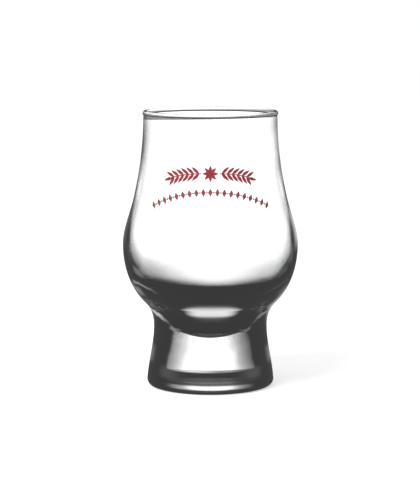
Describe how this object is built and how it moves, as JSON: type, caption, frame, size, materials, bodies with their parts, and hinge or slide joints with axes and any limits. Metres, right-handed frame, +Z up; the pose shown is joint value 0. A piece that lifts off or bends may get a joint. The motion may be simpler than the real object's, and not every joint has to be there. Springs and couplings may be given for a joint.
{
  "type": "nosing glass",
  "caption": "Small tulip-shaped nosing glass on a heavy solid flared foot, with a fired enamel leaf ornament on the front of the bowl.",
  "frame": {"origin": "centre of the round face that the glass stands on", "axes": "+Z up along the glass's axis of turning, from foot to rim; -Y towards the front, where the enamel ornament is; +X to the right of someone who looks at the ornament"},
  "size_m": [0.061, 0.061, 0.096],
  "materials": {
    "bowl_glass": "clear blown soda-lime glass, fire-polished",
    "foot_glass": "clear pressed soda-lime glass, fire-polished",
    "enamel": "fired screen-printed enamel, satin red"
  },
  "bodies": {
    "root": {"bowl": "bowl_glass", "foot": "foot_glass", "enamel_rosette": "enamel", "enamel_spray_left": "enamel", "enamel_spray_right": "enamel", "enamel_arch": "enamel"}
  },
  "joints": []
}
